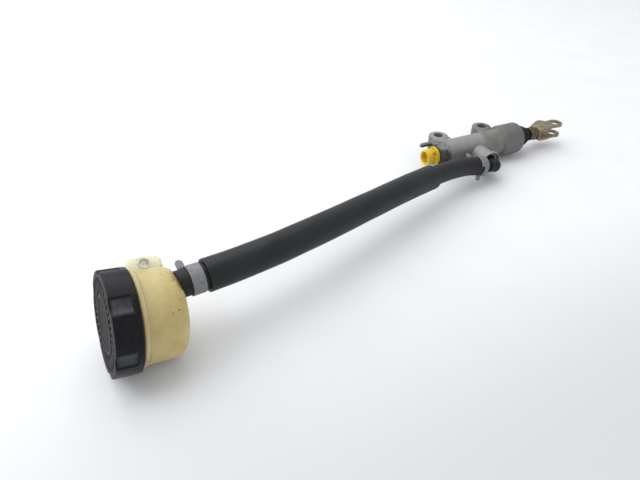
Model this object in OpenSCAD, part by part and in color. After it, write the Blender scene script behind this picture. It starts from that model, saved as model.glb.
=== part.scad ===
// Rear brake master cylinder with a remote fluid reservoir.
// Frame: origin midway between the two mounting holes on the lugs' lower face,
// +X along the bore towards the clevis, +Z along the mounting screws.
// The inlet boss faces -Y, and the hose leads from it to the reservoir on the -X side.
// All sizes in millimetres.

/* [Cylinder body] */
// Distance between the two mounting holes
hole_spacing = 50; // [48:0.5:52]
// Diameter of each mounting hole
hole_d = 8.4; // [6.4:0.1:9]
// Outside diameter of each mounting lug
lug_d = 17.6; // [16:0.2:18.4]
// Thickness of the mounting lugs
lug_t = 12.6; // [8:0.2:13]
// Outside diameter of the narrow barrel
barrel_d = 23.5; // [22:0.1:25]
// Outside diameter of the wide barrel round the dust boot
wide_d = 28.8; // [27:0.1:30]
// Diameter of the bore that the piston runs in
bore_d = 12.7; // [12.7:0.05:12.8]
// Outside diameter of the rim on the inlet boss
rim_d = 20.5; // [19.8:0.1:22]
// Across flats of the outlet boss
outlet_af = 20; // [19:0.2:22]

/* [Push rod and clevis] */
// Diameter of the push rod thread
rod_d = 7.9; // [7:0.1:8]
// Across flats of both rod nuts
nut_af = 12; // [11:0.5:13]
// Diameter of the clevis pin holes
pin_d = 8.1; // [7:0.1:9]
// Gap between the two clevis ears
ear_gap = 8; // [7:0.2:8.6]
// Thickness of the clevis strip
strip_t = 2.4; // [2:0.1:3]

/* [Hose] */
// Outside diameter of the fluid hose
hose_d = 15.8; // [15:0.1:16]
// Bore of the fluid hose
hose_bore = 10; // [9.95:0.05:10.3]
// Outside diameter of the protective sleeve
sleeve_d = 19.8; // [18.5:0.1:21]
// Width of the hose clamp bands
band_w = 7.6; // [6:0.2:8]

/* [Reservoir] */
// Diameter of the screw cap
cap_d = 57.6; // [57:0.2:60]
// Height of the screw cap
cap_h = 14.2; // [14:0.1:14.4]
// Number of finger notches round the cap
cap_notches = 6; // [4:1:10]
// Diameter of the reservoir pot
pot_d = 51.6; // [51:0.2:52]
// Length of the reservoir pot behind the cap
pot_len = 25.8; // [25.4:0.2:26]

/* [Hidden] */
$fn = 96;

// bore axis, and stations along it
bore_y = -21.5;
bore_z = 6;
outlet_x = -42;             // outlet face
barrel_x = -36.4;           // outlet end of the narrow barrel
ball_x = 24.4;              // push rod ball centre
washer_x = 27.3;            // shoulder behind the stop washer
bore_clip_x = 28.9;         // start of the piston circlip groove
body_end = 49;              // open end of the wide barrel
locknut_x = 64.9;
weld_nut_x = 69.65;
base_x = 73.4;              // clevis base wall, outer face
eye_x = 98;                 // clevis pin axis

bore_r = bore_d / 2;
land_r = bore_r - 0.05;     // piston lands
seal_r = bore_r - 0.03;     // cup lips
barrel_r = barrel_d / 2;
wide_r = wide_d / 2;
washer_seat_r = 9;
rod_r = rod_d / 2;
rod_hole_r = rod_r + 0.05;  // hole round the rod thread
groove_w = 1.2;             // both circlip grooves

// inlet boss axis; "out" is the distance from the mounting holes' plane towards -Y
boss_x = -2.5;
boss_z = 3.5;
rim_out = 49.3;             // face of the rim
elbow_clip_out = 44.1;      // start of the elbow circlip groove
elbow_out = 54;             // corner of the elbow

// inlet elbow: corner, and nipple direction as turn from +X and tilt above level
elbow = [boss_x, -elbow_out, boss_z];
elbow_turn = 180;
elbow_tilt = 10.89;
// reservoir: centre of the cap's outer face, and direction of its axis
reservoir = [-330.7, -132.8, 22.7];
reservoir_turn = 6.4;
reservoir_tilt = -13;
// reservoir nipple: root and direction
nipple = [-287.52, -129.01, 32.56];
nipple_turn = 10.4;
nipple_tilt = -4.13;
barb_r = 4.95;              // barbs of both nipples

function direction(turn, tilt) =
    [cos(tilt) * cos(turn), cos(tilt) * sin(turn), sin(tilt)];
elbow_dir = direction(elbow_turn, elbow_tilt);
reservoir_dir = direction(reservoir_turn, reservoir_tilt);
nipple_dir = direction(nipple_turn, nipple_tilt);

// ---------- placing helpers ----------
// local +Z runs along the parent's +X, local +X along its -Z
module along_x(x = 0) { translate([x, 0, 0]) rotate([0, 90, 0]) children(); }
// local +Z runs along the bore (+X), local +X points down
module on_bore(x = 0) { translate([0, bore_y, bore_z]) along_x(x) children(); }
// local +Z points out of the inlet boss (-Y)
module on_boss(out = 0) {
    translate([boss_x, -out, boss_z]) rotate([90, 0, 0]) children();
}
// local +X runs along the given direction
module aimed(place, turn, tilt) { translate(place) rotate([0, -tilt, turn]) children(); }
// local +X runs along the reservoir axis, away from the cap's outer face
module on_reservoir() {
    aimed(reservoir, reservoir_turn, reservoir_tilt) children();
}
// local +Z runs along the reservoir nipple, away from the pot
module on_nipple(distance = 0) {
    aimed(nipple, nipple_turn, nipple_tilt) along_x(distance) children();
}
// local +Z runs along the elbow nipple, away from the corner
module on_elbow(distance = 0) {
    aimed(elbow, elbow_turn, elbow_tilt) along_x(distance) children();
}

// ---------- shape helpers ----------
// turned part; every profile is a list of [radius, distance along the axis]
module turned(profile) { rotate_extrude() polygon(profile); }
module tube(h, outer, inner) {
    difference() {
        cylinder(h = h, r = outer);
        translate([0, 0, -1]) cylinder(h = h + 2, r = inner);
    }
}
// points of an arc in equal steps, for rounded profile corners
function arc(cx, cy, r, from, to, steps = 8) =
    [for (i = [0:steps]) let (a = from + (to - from) * i / steps)
        [cx + r * cos(a), cy + r * sin(a)]];
// hexagonal nut with chamfered corners
module hex_nut(af, h, hole_r) {
    flat_r = af / 2;
    difference() {
        intersection() {
            cylinder(h = h, r = flat_r / cos(30), $fn = 6);
            turned([[0, 0], [flat_r - 0.1, 0], [flat_r + 1.1, 0.8],
                [flat_r + 1.1, h - 0.8], [flat_r - 0.1, h], [0, h]]);
        }
        translate([0, 0, -1]) cylinder(h = h + 2, r = hole_r);
    }
}
// snap ring with a gap on local +X and a pierced eye at each end
module open_ring(outer, inner, h, gap, eye_r, eye_at) {
    turn = asin(gap / 2 / inner) + asin(eye_r / eye_at) * 0.7;
    difference() {
        union() {
            difference() {
                tube(h, outer, inner);
                translate([0, -gap / 2, -1]) cube([outer * 2, gap, h + 2]);
            }
            for (side = [-1, 1]) rotate([0, 0, side * turn]) translate([eye_at, 0, 0])
                cylinder(h = h, r = eye_r, $fn = 24);
        }
        for (side = [-1, 1]) rotate([0, 0, side * turn]) translate([eye_at, 0, -1])
            cylinder(h = h + 2, r = eye_r * 0.45, $fn = 24);
    }
}
// solid nipple with three shallow barbs before its tip
module barbed(tip, r) {
    root_r = r - 0.5;
    turned(concat([[0, 0], [root_r, 0]],
        [for (k = [0:2]) let (start = tip - 10 + k * 3) each [[root_r, start],
            [r, start + 0.3], [r, start + 0.8], [root_r, start + 2.6]]],
        [[root_r, tip - 0.5], [r - 0.9, tip], [0, tip]]));
}

// ---------- cylinder body ----------
web_t = lug_t - 0.8;        // webs stop short of the lug faces
web_y = bore_y + 4;
ring_w = 1.6;               // lug margin outside its raised ring
front_round = 1.5;
step_round = 1.6;
end_round = 2.6;
finger = [-50.2, -10.2, 12.2];
finger_r = 2.0;
neck_r = 8.9;               // inlet boss neck, and the mouth in its rim
rib_w = 4.4;
rib_len = 20;

// cuts along the bore: [start, length, radius]
bore_cuts = [
    [-22, 50, bore_r],                  // main bore
    [washer_x, 8, washer_seat_r],       // counterbore
    [bore_clip_x, groove_w, 9.9],       // circlip groove
    [33, 20, 10.2],                     // boot cavity
    [43.6, 3.4, 11.6],                  // boot bead groove
    [body_end - 1.2, 5, 11.2],          // mouth
    [outlet_x - 2, 14, 4.5],            // outlet port
    [outlet_x - 1, 1.4, 5.2],           // port mouth
    [-31, 12, 1.5]];                    // passage to the bore
// cuts along the inlet boss: [start, length, radius]
boss_cuts = [
    [46.7, 6, neck_r],                  // mouth
    [40, 10, 6.6],                      // collar socket
    [elbow_clip_out, groove_w, 7.5],    // circlip groove
    [33, 10, 5.7]];                     // stem socket
// holes from the boss socket to the bore: [x, radius]
supply_holes = [[1.6, 1.3], [-6.4, 0.5]];

// round lug with a raised ring, joined to the barrel by a straight-sided web
module lug(x) {
    translate([x, 0, 0]) cylinder(h = lug_t, r = lug_d / 2);
    translate([x - lug_d / 2, web_y, 0]) cube([lug_d, -web_y, web_t]);
    translate([x, 0, 0]) cylinder(h = lug_t + 0.6, r = lug_d / 2 - ring_w);
}
module barrels() {
    // narrow barrel, rounded at the outlet end
    on_bore() turned(concat([[0, barrel_x]],
        arc(barrel_r - front_round, barrel_x + front_round, front_round, -90, 0),
        [[barrel_r, 27], [0, 27]]));
    // wide barrel, rounded at its step and at the open end
    on_bore() turned(concat([[0, 26.2], [barrel_r - 0.2, 26.2]],
        arc(wide_r - step_round, 28.6, step_round, -60, 0),
        arc(wide_r - end_round, body_end - end_round, end_round, 0, 80),
        [[0, body_end]]));
}
module outlet_boss() {
    // eight flats with a round face standing proud
    on_bore(outlet_x) rotate([0, 0, 129])
        cylinder(h = 9, r = outlet_af / 2 / cos(22.5), $fn = 8);
    on_bore(outlet_x - 0.6) cylinder(h = 2, r = outlet_af / 2 - 1);
}
// round-ended finger beside the outlet, with the block at its root
module stop_finger() {
    translate(finger) rotate([0, 90, 0]) cylinder(h = 22, r = finger_r);
    translate(finger) sphere(r = finger_r);
    translate([-41.5, -14.5, 6]) cube([15, 5.6, 8]);
}
module inlet_boss() {
    rim_r = rim_d / 2;
    on_boss(-bore_y) cylinder(h = rim_out + bore_y - 2.6, r = neck_r);
    on_boss() turned([[0, rim_out - 5.2], [8.7, rim_out - 5.2],
        [rim_r - 0.3, rim_out - 3.1], [rim_r, rim_out - 2.6],
        [rim_r, rim_out - 0.5], [rim_r - 0.5, rim_out], [0, rim_out]]);
    // square rib set on edge along the -X side of the boss
    translate([boss_x - 8.2, bore_y - rib_len, boss_z + 1]) rotate([0, 45, 0])
        cube([rib_w, rib_len, rib_w]);
}
module cylinder_body() {
    color([0.56, 0.56, 0.54])
    difference() {
        union() {
            barrels();
            outlet_boss();
            for (side = [-1, 1]) lug(side * hole_spacing / 2);
            // low web between the lugs
            translate([-hole_spacing / 2, bore_y + 6, 2.5]) cube([hole_spacing, 9.5, 7]);
            stop_finger();
            inlet_boss();
            // block on the barrel in line with the +X lug
            translate([hole_spacing / 2 - lug_d / 2, bore_y - 2, bore_z])
                cube([lug_d, 10, web_t - bore_z]);
        }
        for (side = [-1, 1]) translate([side * hole_spacing / 2, 0, -1])
            cylinder(h = lug_t + 3, r = hole_d / 2);
        for (cut = bore_cuts) on_bore(cut[0]) cylinder(h = cut[1], r = cut[2]);
        for (cut = boss_cuts) on_boss(cut[0]) cylinder(h = cut[1], r = cut[2]);
        for (hole = supply_holes) translate([hole[0], bore_y, boss_z])
            rotate([90, 0, 0]) cylinder(h = 13, r = hole[1]);
    }
}

// ---------- inside the bore ----------
socket_r = 3.35;            // push rod ball socket
module piston() {
    color([0.72, 0.70, 0.62])
    on_bore() difference() {
        turned([[0, -12], [2.4, -12], [2.9, -11.4], [2.9, -7.6],
            [4.9, -7.6], [4.9, -6.2], [3.2, -6.2], [3.2, -1.9], [land_r, -1.9],
            [land_r, -0.1], [4, -0.1], [4, 17], [land_r, 17],
            [land_r, 18.4], [4.4, 18.4], [4.4, 21.6], [land_r, 21.6],
            [land_r, 27.2], [0, 27.2]]);
        translate([0, 0, ball_x]) sphere(r = socket_r);
        translate([0, 0, ball_x]) cylinder(h = 10, r = socket_r);
    }
}
module primary_cup() {
    color([0.1, 0.1, 0.1])
    on_bore() turned([[3.25, -1.95], [bore_r - 0.25, -1.95],
        [seal_r, -2.6], [seal_r, -5.2], [bore_r - 0.45, -5.6],
        [bore_r - 1.0, -3.8], [3.9, -3.4], [3.25, -3.7]]);
}
module secondary_cup() {
    color([0.1, 0.1, 0.1])
    on_bore() turned([[4.45, 18.45], [5.2, 18.45], [5.5, 19.6],
        [bore_r - 0.45, 18.45], [seal_r, 18.9], [seal_r, 21.2],
        [bore_r - 0.3, 21.55], [4.45, 21.55]]);
}
// helical wire as one closed skin: rings of points joined by quads, then two end caps
module coil(r, wire_r, length, turns) {
    steps = turns * 20;
    sides = 8;
    pitch = (length - 2 * wire_r) / turns;
    points = [for (i = [0:steps]) for (j = [0:sides - 1])
        let (a = 360 * turns * i / steps, b = 360 * j / sides, q = r + wire_r * cos(b))
        [q * cos(a), q * sin(a), pitch * turns * i / steps + wire_r * sin(b) + wire_r]];
    faces = concat(
        [for (i = [0:steps - 1]) for (j = [0:sides - 1])
            let (k = (j + 1) % sides, here = i * sides, next = here + sides)
            [here + j, here + k, next + k, next + j]],
        [[for (j = [sides - 1:-1:0]) j]],
        [[for (j = [0:sides - 1]) steps * sides + j]]);
    polyhedron(points = points, faces = faces, convexity = 10);
}
module return_spring() {
    color([0.6, 0.6, 0.62])
    on_bore(-21.9) coil(r = 4.4, wire_r = 0.45, length = 14.2, turns = 5);
}

// ---------- push rod group ----------
module pushrod() {
    color([0.27, 0.22, 0.18])
    on_bore() {
        translate([0, 0, ball_x]) sphere(r = 3.3);
        // neck, shank, thread
        turned([[0, ball_x], [2.4, ball_x], [2.4, 41], [3.2, 42.5],
            [3.2, 64], [rod_r - 0.4, 64.1], [rod_r, 64.5], [rod_r, 80.6],
            [rod_r - 0.7, 81.3], [0, 81.3]]);
    }
}
module stop_washer() {
    color([0.62, 0.62, 0.62])
    on_bore(washer_x + 0.05) tube(h = 1.4, outer = washer_seat_r - 0.05, inner = 3.15);
}
module piston_circlip() {
    color([0.35, 0.35, 0.36])
    on_bore(bore_clip_x + 0.05) open_ring(outer = 9.8, inner = 8.1,
        h = groove_w - 0.1, gap = 4, eye_r = 1.1, eye_at = 7.9);
}
// rubber bellows: bead in the body groove, domed fold, lip round the rod
module dust_boot() {
    color([0.07, 0.07, 0.07])
    on_bore() turned([
        // bead and outside, towards the clevis
        [9.2, 43.7], [11.5, 43.7], [11.5, 46.9], [10.1, 46.9], [10.1, 47.9],
        [10.9, 47.9], [10.9, 50.6], [10.6, 52.6], [9.9, 54.6], [9.6, 56.4],
        [8.6, 57.6], [8.3, 59.2], [7.2, 60.0], [6.9, 61.0], [5.6, 61.6],
        [5.1, 62.0], [5.1, 63.7],
        // lip and inside, back to the bead
        [3.35, 63.7], [3.35, 62.2], [3.35, 60.6], [5.4, 59.9], [6.0, 58.9],
        [7.0, 58.4], [7.4, 56.8], [8.4, 55.6], [8.8, 53.8], [9.5, 52.0],
        [9.7, 50.4], [9.7, 48.6], [9.2, 48.4]]);
}
module locknut() {
    color([0.33, 0.27, 0.2])
    on_bore(locknut_x) hex_nut(nut_af, 4.6, rod_hole_r);
}
// nut projection-welded to the outside of the clevis base wall
module weld_nut() {
    color([0.42, 0.36, 0.26])
    on_bore(weld_nut_x) rotate([0, 0, 14])
        hex_nut(nut_af, base_x - weld_nut_x - 0.05, rod_hole_r);
}

// clevis
ear_in = ear_gap / 2;       // ear faces, from the bore axis
ear_out = ear_in + strip_t;
bend_in = 1;                // bend radii inside and outside the U
bend_out = 3.4;
base_half = 6.75;           // half width of the base wall
// stamped outline of the ears, [x, y from the bore axis]
ear_outline = [
    [base_x + 1, -base_half], [base_x + 12, -6.9], [base_x + 17, -5.9],
    [eye_x - 2, -6.5], [eye_x, -6.79], [eye_x, 6.79], [eye_x - 3, 6.4],
    [eye_x - 7, 6.6], [eye_x - 8.6, 9.2], [eye_x - 10.4, 10.6],
    [eye_x - 14, 10.4], [base_x + 4, 7.4], [base_x + 1, base_half]];
// side view of the bent strip, in X and Z
module clevis_side() {
    inside_x = base_x + strip_t;
    difference() {
        union() {
            translate([base_x + bend_out, -ear_out]) square([40, 2 * ear_out]);
            translate([base_x, -ear_out + bend_out])
                square([10, 2 * (ear_out - bend_out)]);
            for (side = [-1, 1])
                translate([base_x + bend_out, side * (ear_out - bend_out)])
                    circle(r = bend_out);
        }
        translate([inside_x + bend_in, -ear_in]) square([60, ear_gap]);
        translate([inside_x, -ear_in + bend_in]) square([10, ear_gap - 2 * bend_in]);
        for (side = [-1, 1])
            translate([inside_x + bend_in, side * (ear_in - bend_in)])
                circle(r = bend_in);
    }
}
// plan view, in X and Y
module clevis_plan() {
    translate([eye_x, 0]) circle(r = 6.8);
    translate([base_x - 1, -base_half]) square([6, 2 * base_half]);
    polygon(ear_outline);
}
// one strip bent to a U, trimmed to its stamped outline
module clevis() {
    color([0.60, 0.55, 0.40])
    translate([0, bore_y, bore_z]) difference() {
        intersection() {
            translate([0, 20, 0]) rotate([90, 0, 0]) linear_extrude(height = 40)
                clevis_side();
            translate([0, 0, -20]) linear_extrude(height = 40) clevis_plan();
        }
        translate([eye_x, 0, -20]) cylinder(h = 40, r = pin_d / 2);
        along_x(base_x - 2) cylinder(h = 5, r = rod_hole_r);
    }
}

// ---------- inlet elbow ----------
stem_r = 5.63;
module inlet_elbow() {
    color([0.08, 0.08, 0.08])
    difference() {
        union() {
            on_elbow() sphere(r = 5.9);
            on_elbow() cylinder(h = 6.6, r = 5.6);
            on_elbow() barbed(tip = 25.5, r = barb_r);
            // stem with seal groove and collar
            on_boss() turned([[0, 33.3], [4.9, 33.3], [stem_r, 34],
                [stem_r, 36.4], [3.9, 36.4], [3.9, 38.6], [stem_r, 38.6], [stem_r, 40.1],
                [6.5, 40.1], [6.5, 43.9], [5.3, 43.9], [5.3, elbow_out], [0, elbow_out]]);
        }
        on_boss(30) cylinder(h = elbow_out - 30, r = 2.6);
        on_elbow() cylinder(h = 30, r = 2.55);
        on_elbow() sphere(r = 2.8);
    }
}
module elbow_o_ring() {
    color([0.05, 0.05, 0.05])
    on_boss(37.5) rotate_extrude() translate([4.78, 0]) circle(r = 0.86, $fn = 24);
}
module elbow_circlip() {
    color([0.4, 0.4, 0.41])
    on_boss(elbow_clip_out + 0.05) open_ring(outer = 7.4, inner = 5.9,
        h = groove_w - 0.2, gap = 3, eye_r = 0.85, eye_at = 6.4);
}

// ---------- hose and sleeve ----------
// centre line: straight off the pot nipple, one cubic curve, straight onto the elbow
pot_run = 21;               // straight from the nipple root to the curve
elbow_run = 27;             // straight from the curve to the elbow corner
hose_start = 2;             // distances along the first straight
sleeve_start = 13.6;
elbow_gap = 12.6;           // from the hose end to the elbow corner
sleeve_share = 0.725;       // share of the curve that the sleeve covers
strands = 48;               // points round each ring

// control points of the curve
curve0 = nipple + pot_run * nipple_dir;
curve3 = elbow + elbow_run * elbow_dir;
curve1 = curve0 + 78.2 * nipple_dir;
curve2 = curve3 + 41.3 * elbow_dir;
function curve(t) = pow(1 - t, 3) * curve0 + 3 * pow(1 - t, 2) * t * curve1
    + 3 * (1 - t) * t * t * curve2 + pow(t, 3) * curve3;
function curve_dir(t) =
    let (v = 3 * pow(1 - t, 2) * (curve1 - curve0)
        + 6 * (1 - t) * t * (curve2 - curve1)
        + 3 * t * t * (curve3 - curve2))
    v / norm(v);
// station s: below 0 on the first straight (mm), 0 to 1 on the curve,
// above 1 on the last straight (1 + mm)
function centre_at(s) =
    s < 0 ? curve0 + s * nipple_dir : s > 1 ? curve3 - (s - 1) * elbow_dir : curve(s);
function dir_at(s) = s <= 0 ? nipple_dir : s >= 1 ? -elbow_dir : curve_dir(s);
// ring of points square to the centre line
function ring(s, r) =
    let (c = centre_at(s), d = dir_at(s), across = cross([0, 0, 1], d),
        u = across / norm(across), w = cross(d, u))
    [for (j = [0:strands - 1]) let (a = 360 * (j + 0.5) / strands)
        c + r * (cos(a) * u + sin(a) * w)];

// axial distance of a point beyond the pot's rounded end, less 0.6 of clearance
function pot_distance(p) =
    let (v = p - reservoir, x = v * reservoir_dir,
        k = norm(v - x * reservoir_dir) - (pot_r - pot_round),
        drop = k <= 0 ? 0 : k >= 7.9 ? 7
            : pot_round - sqrt(pot_round * pot_round - k * k))
    x - (pot_end + 0.6 - drop);
// slide a point along the nipple direction onto that surface, in repeated steps
function land(p, steps = 8) = steps == 0 ? p
    : land(p - nipple_dir * (pot_distance(p) / (nipple_dir * reservoir_dir)), steps - 1);
// keep a point within 2.2 behind the nipple root
function stop_short(p) = p + nipple_dir * max(0, -2.2 - (p - nipple) * nipple_dir);
// ring fitted to the end of the pot
function pot_ring(r) = [for (p = ring(hose_start - pot_run, r)) stop_short(land(p))];

// hollow tube swept through the stations; on_pot fits its first ring to the pot
module swept_tube(stations, outer, inner, on_pot = false) {
    m = strands;
    last = len(stations) - 1;
    in0 = (last + 1) * m;   // index of the first inner point
    points = [for (r = [outer, inner]) for (i = [0:last])
        each i == 0 && on_pot ? pot_ring(r) : ring(stations[i], r)];
    faces = concat(
        // outside wall
        [for (i = [0:last - 1]) for (j = [0:m - 1]) let (k = (j + 1) % m, a = i * m)
            [a + j, a + m + j, a + m + k, a + k]],
        // inside wall
        [for (i = [0:last - 1]) for (j = [0:m - 1]) let (k = (j + 1) % m, a = in0 + i * m)
            [a + j, a + k, a + m + k, a + m + j]],
        // first and last end faces
        [for (j = [0:m - 1]) let (k = (j + 1) % m) [j, k, in0 + k, in0 + j]],
        [for (j = [0:m - 1]) let (k = (j + 1) % m, a = last * m)
            [a + j, in0 + a + j, in0 + a + k, a + k]]);
    polyhedron(points = points, faces = faces, convexity = 10);
}
module fluid_hose() {
    color([0.06, 0.06, 0.06])
    swept_tube(concat([hose_start - pot_run], [for (i = [0:28]) i / 28],
        [1 + elbow_run - elbow_gap]), hose_d / 2, hose_bore / 2, on_pot = true);
}
module hose_sleeve() {
    color([0.11, 0.12, 0.12])
    swept_tube(concat([sleeve_start - pot_run], [for (i = [0:26]) i / 26 * sleeve_share]),
        sleeve_d / 2, hose_d / 2 + 0.12);
}

// ---------- hose clamps ----------
// local +Z runs along the hose; angles are measured round it
band_t = 0.8;
tongue_w = 2.6;             // tongue beside the band, below z = 0
broad_w = 3.2;              // part of the band width that only the broad part has

// wedge between two angles, used to trim the ring
module sector(from, to, bottom, top) {
    translate([0, 0, bottom]) linear_extrude(height = top - bottom)
        polygon(concat([[0, 0]], arc(0, 0, 25, from, to, 16)));
}
// round-ended plate standing out from the band
module clamp_ear(angle, z, w, h) {
    translate([0, 0, z]) rotate([0, 0, angle]) translate([hose_d / 2 + 0.26, -0.4, 0])
        rotate([-90, 0, 0]) linear_extrude(height = 0.8) {
            translate([0, -w]) square([h - w / 2, w]);
            translate([h - w / 2, -w / 2]) circle(r = w / 2);
        }
}
// sprung ring, widened over part of its turn, with an ear at each end
module band_clamp(ear1, ear2, broad_from, broad_to, ear2_h) {
    inner = hose_d / 2 + 0.06;
    difference() {
        translate([0, 0, -tongue_w]) tube(band_w + tongue_w, inner + band_t, inner);
        // leave only the tongue at the first ear
        sector(ear1 + 17, ear1 + 357, -3, 0);
        // narrow the ring outside the broad part
        sector(broad_to, broad_from + 360, -0.5, broad_w);
    }
    clamp_ear(ear1, z = -tongue_w, w = 4.6, h = 6.6);
    clamp_ear(ear2, z = broad_w, w = band_w - broad_w, h = ear2_h);
}
module upper_clamp() {
    color([0.62, 0.63, 0.64])
    on_nipple(3.9) band_clamp(ear1 = 111.2, ear2 = 50,
        broad_from = 113, broad_to = 395, ear2_h = 5.6);
}
module lower_clamp() {
    color([0.62, 0.63, 0.64])
    on_elbow(14 + band_w) mirror([0, 0, 1]) band_clamp(ear1 = -111.2, ear2 = 14.5,
        broad_from = 112, broad_to = 247, ear2_h = 5.0);
}

// ---------- reservoir ----------
// distances run along its axis from the cap's outer face
pot_r = pot_d / 2;
pot_end = cap_h + pot_len;
pot_round = 8;              // rounding of the pot's closed end
pot_lug_turn = 60;          // lug position round the pot, from the top towards +Y
pot_lug_x = 26;
pot_lug_rad = 28.9;         // lug hole, from the reservoir axis
pot_lug_w = 12;
eye_half = 5.6;             // half spacing of the lug's rounded shoulders

// origin at the middle of the lug hole, local +Z away from the reservoir axis
module on_pot_lug() {
    on_reservoir() rotate([-pot_lug_turn, 0, 0]) translate([pot_lug_x, 0, pot_lug_rad])
        children();
}
module pot_lug() {
    half_w = pot_lug_w / 2;
    translate([-10, -half_w, 20 - pot_lug_rad]) cube([20, pot_lug_w, pot_lug_rad - 19.9]);
    for (side = [-1, 1]) translate([side * eye_half, half_w, 0.1])
        rotate([90, 0, 0]) cylinder(h = pot_lug_w, r = 4.3);
    translate([-eye_half, -half_w, 0]) cube([2 * eye_half, pot_lug_w, 4.4]);
}
module reservoir_pot() {
    color([0.80, 0.74, 0.52, 0.85])
    difference() {
        union() {
            // neck, flange, pot with a rounded end
            on_reservoir() along_x() turned(concat([[0, 5.9], [24.6, 5.9], [24.6, 14.7],
                [27.1, 14.7], [27.1, 16.7], [26.6, 17.2], [pot_r, 17.2]],
                arc(pot_r - pot_round, pot_end - pot_round, pot_round, 0, 90),
                [[0, pot_end]]));
            on_pot_lug() pot_lug();
            // collar and barbed nipple
            on_nipple(-3) cylinder(h = 5.6, r = 4.9);
            on_nipple(-3) barbed(tip = 24, r = barb_r);
        }
        // inside of the pot
        on_reservoir() along_x() turned(concat([[0, 5], [21.9, 5], [21.9, 17],
            [pot_r - 2.3, 18.6]], arc(pot_r - 8.3, pot_end - 8.4, 6, 0, 90),
            [[0, pot_end - 2.4]]));
        on_nipple(-8) cylinder(h = 40, r = 3.1);
        on_pot_lug() translate([0, 10, 0]) rotate([90, 0, 0]) cylinder(h = 20, r = 3.25);
    }
}
module lug_bush() {
    color([0.7, 0.68, 0.6])
    on_pot_lug() translate([0, pot_lug_w / 2 + 0.2, 0]) rotate([90, 0, 0])
        tube(h = pot_lug_w + 0.4, outer = 3.22, inner = 2.65);
}
module diaphragm() {
    color([0.12, 0.12, 0.12])
    on_reservoir() along_x() turned([[0, 10.6], [15.4, 10.6], [15.4, 6.6],
        [17.6, 6.6], [17.6, 12.4], [20.4, 12.4], [20.4, 5.8], [24.9, 5.8], [24.9, 4.4],
        [19.2, 4.4], [19.2, 11.2], [18.8, 11.2], [18.8, 5.4], [14.2, 5.4], [14.2, 9.4],
        [0, 9.4]]);
}
// disc with a raised ring, a centre hole and four holes round it
module diaphragm_plate() {
    color([0.82, 0.80, 0.72])
    on_reservoir() along_x(2.65) difference() {
        union() {
            cylinder(h = 1.65, r = 26.0);
            tube(h = 2.4, outer = 12.6, inner = 11.2);
        }
        translate([0, 0, -1]) cylinder(h = 6, r = 1.2);
        for (k = [0:3]) rotate([0, 0, 45 + 90 * k]) translate([18, 0, -1])
            cylinder(h = 6, r = 1.2, $fn = 32);
    }
}
module screw_cap() {
    cap_r = cap_d / 2;
    color([0.13, 0.13, 0.13])
    on_reservoir() difference() {
        union() {
            // recessed face, chamfered edge and side wall; then a raised centre
            along_x() turned([[0, 0.9], [25.2, 0.9], [25.2, 0.3], [25.6, 0],
                [cap_r - 1.0, 0], [cap_r - 0.2, 0.7], [cap_r, 1.4],
                [cap_r, cap_h - 0.5], [cap_r - 0.4, cap_h], [0, cap_h]]);
            along_x(0.1) cylinder(h = 2, r = 16.2);
            // ring of short raised bars on the face
            for (k = [0:35]) rotate([k * 10, 0, 0]) translate([0.35, -0.7, 18.6])
                cube([1, 1.4, 4.4]);
        }
        along_x(2.6) cylinder(h = 20, r = 26.1);
        along_x(-1) cylinder(h = 1.6, r = 14.4);
        // finger notches, open at the face and closed by the rim next to the pot
        for (k = [0:cap_notches - 1]) rotate([k * 360 / cap_notches + 32.5, 0, 0])
            translate([0, 0, cap_r + 5.9]) along_x(-1) cylinder(h = cap_h - 2.1, r = 8);
    }
}

// ---------- outlet plug ----------
// push-in transit plug: cupped head, waist, collar, shank
module port_plug() {
    color([0.93, 0.78, 0.08])
    on_bore() difference() {
        turned([[0, -53.9], [6.6, -53.9], [7.0, -53.5], [7.2, -49.2],
            [6.8, -48.7], [6.2, -48.4], [6.2, -46.2], [8.2, -46], [8.4, -45.7], [8.4, -43.4],
            [8.1, -43.0], [4.44, -43.0], [4.44, -33.6], [3.9, -33.0], [0, -33.0]]);
        translate([0, 0, -55]) cylinder(h = 7, r = 5);
    }
}

cylinder_body();
piston();
primary_cup();
secondary_cup();
return_spring();
pushrod();
stop_washer();
piston_circlip();
dust_boot();
locknut();
clevis();
weld_nut();
inlet_elbow();
elbow_o_ring();
elbow_circlip();
lower_clamp();
fluid_hose();
hose_sleeve();
upper_clamp();
reservoir_pot();
lug_bush();
diaphragm();
diaphragm_plate();
screw_cap();
port_plug();
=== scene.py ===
"""Hydraulic cylinder with a remote fluid reservoir, joined by a sleeved hose.

The cylinder's bore runs along X near the origin, with a yellow plug at its -X end and the
push rod, rubber boot and clevis at its +X end. A boss on the -Y side holds the inlet elbow.
The reservoir lies at -X, tilted, with its screw cap facing -X. Everything rests on a floor
below, +Z up. Shapes are worked out in millimetres and written in metres.
"""

import math

import bmesh
import bpy
import numpy as np
from mathutils import Matrix, Vector, noise


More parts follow.
